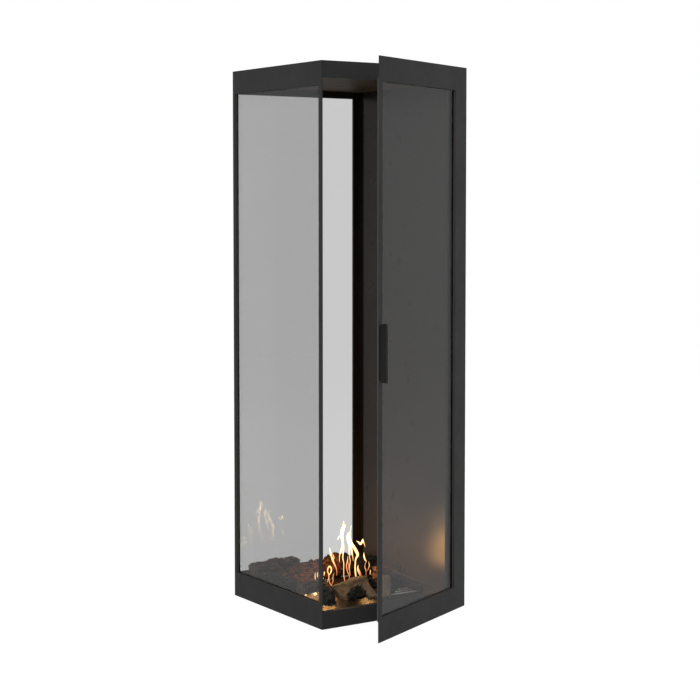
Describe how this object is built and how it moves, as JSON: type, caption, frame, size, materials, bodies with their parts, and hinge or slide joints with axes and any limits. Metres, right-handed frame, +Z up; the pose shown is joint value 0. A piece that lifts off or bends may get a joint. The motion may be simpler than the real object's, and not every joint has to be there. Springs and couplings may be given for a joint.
{
  "type": "bioethanol room divider fireplace",
  "caption": "Tall glazed fireplace for dividing a room, with a hinged glass door, a solid end wall, ceramic logs on a dark hearth and a bioethanol burner under a sliding lid.",
  "frame": {"origin": "centre of the square footprint, on the floor", "axes": "+Z up; -Y towards the door, -X towards the glazed end, +X towards the solid end wall"},
  "size_m": [0.503, 0.7262, 1.59],
  "materials": {
    "coated_steel": "fine matt anthracite powder coat",
    "liner_steel": "semi-gloss heat-resistant dark brown coat",
    "black_steel": "matt heat-resistant black coat",
    "stainless_steel": "brushed",
    "tinted_glass": "polished, lightly grey toughened glass",
    "seal_fibre": "black woven glass-fibre tape",
    "board_fibre": "rigid mineral insulation board",
    "wool_fibre": "white ceramic wool",
    "bark_ceramic": "rough cast ceramic, painted as grey-brown bark",
    "red_ceramic": "rough cast ceramic, painted red-brown",
    "split_ceramic": "rough cast ceramic, painted as light split wood",
    "charred_ceramic": "rough cast ceramic, painted as charred wood"
  },
  "bodies": {
    "case": {"base_plate": "coated_steel", "top_cover": "coated_steel", "base_band_end": "coated_steel", "base_band_back": "coated_steel", "header_band_end": "coated_steel", "header_band_back": "coated_steel", "near_post": "coated_steel", "far_corner_post": "coated_steel", "front_header": "coated_steel", "front_sill": "coated_steel", "end_wall_casing": "coated_steel", "end_wall_insulation": "board_fibre", "end_wall_liner": "liner_steel", "back_pane_jamb": "black_steel", "end_glass": "tinted_glass", "back_glass": "tinted_glass", "end_glass_seal": "seal_fibre", "back_glass_seal": "seal_fibre", "end_glass_lower_bead": "black_steel", "end_glass_upper_bead": "black_steel", "back_glass_lower_bead": "black_steel", "back_glass_upper_bead": "black_steel", "ceiling_panel": "liner_steel", "hearth_plate": "liner_steel", "air_grille": "black_steel", "hearth_rail_front": "black_steel", "hearth_rail_back": "black_steel", "burner_tank": "stainless_steel", "burner_wool": "wool_fibre", "burner_cover": "stainless_steel", "upper_hinge_bracket": "coated_steel", "lower_hinge_bracket": "coated_steel", "upper_hinge_pin": "stainless_steel", "lower_hinge_pin": "stainless_steel", "log_back_bark": "bark_ceramic", "log_middle_red": "red_ceramic", "log_back_charred": "charred_ceramic", "log_left_charred": "charred_ceramic", "log_left_brown": "bark_ceramic", "log_front_split": "split_ceramic", "log_front_charred": "charred_ceramic", "log_right_red": "red_ceramic", "log_right_charred": "charred_ceramic", "log_lean_left": "split_ceramic", "log_lean_right": "split_ceramic", "log_lean_brown": "bark_ceramic", "log_small_charred": "charred_ceramic"},
    "door": {"door_free_stile": "coated_steel", "door_hinge_stile": "coated_steel", "door_bottom_rail": "coated_steel", "door_top_rail": "coated_steel", "door_glass": "tinted_glass", "door_glass_seal": "seal_fibre", "door_lower_bead": "black_steel", "door_upper_bead": "black_steel", "handle_neck": "black_steel", "handle_bar": "black_steel", "upper_pivot_block": "stainless_steel", "lower_pivot_block": "stainless_steel"},
    "lid": {"burner_lid": "stainless_steel"}
  },
  "joints": [
    {"name": "door_hinge", "type": "hinge", "parent": "case", "child": "door", "pos_m": [0.241, -0.241, 0], "axis": [0, 0, 1], "range_deg": [-25, 65]},
    {"name": "burner_lid_slide", "type": "slide", "parent": "case", "child": "lid", "axis": [-1, 0, 0], "range_m": [0, 0.202]}
  ]
}
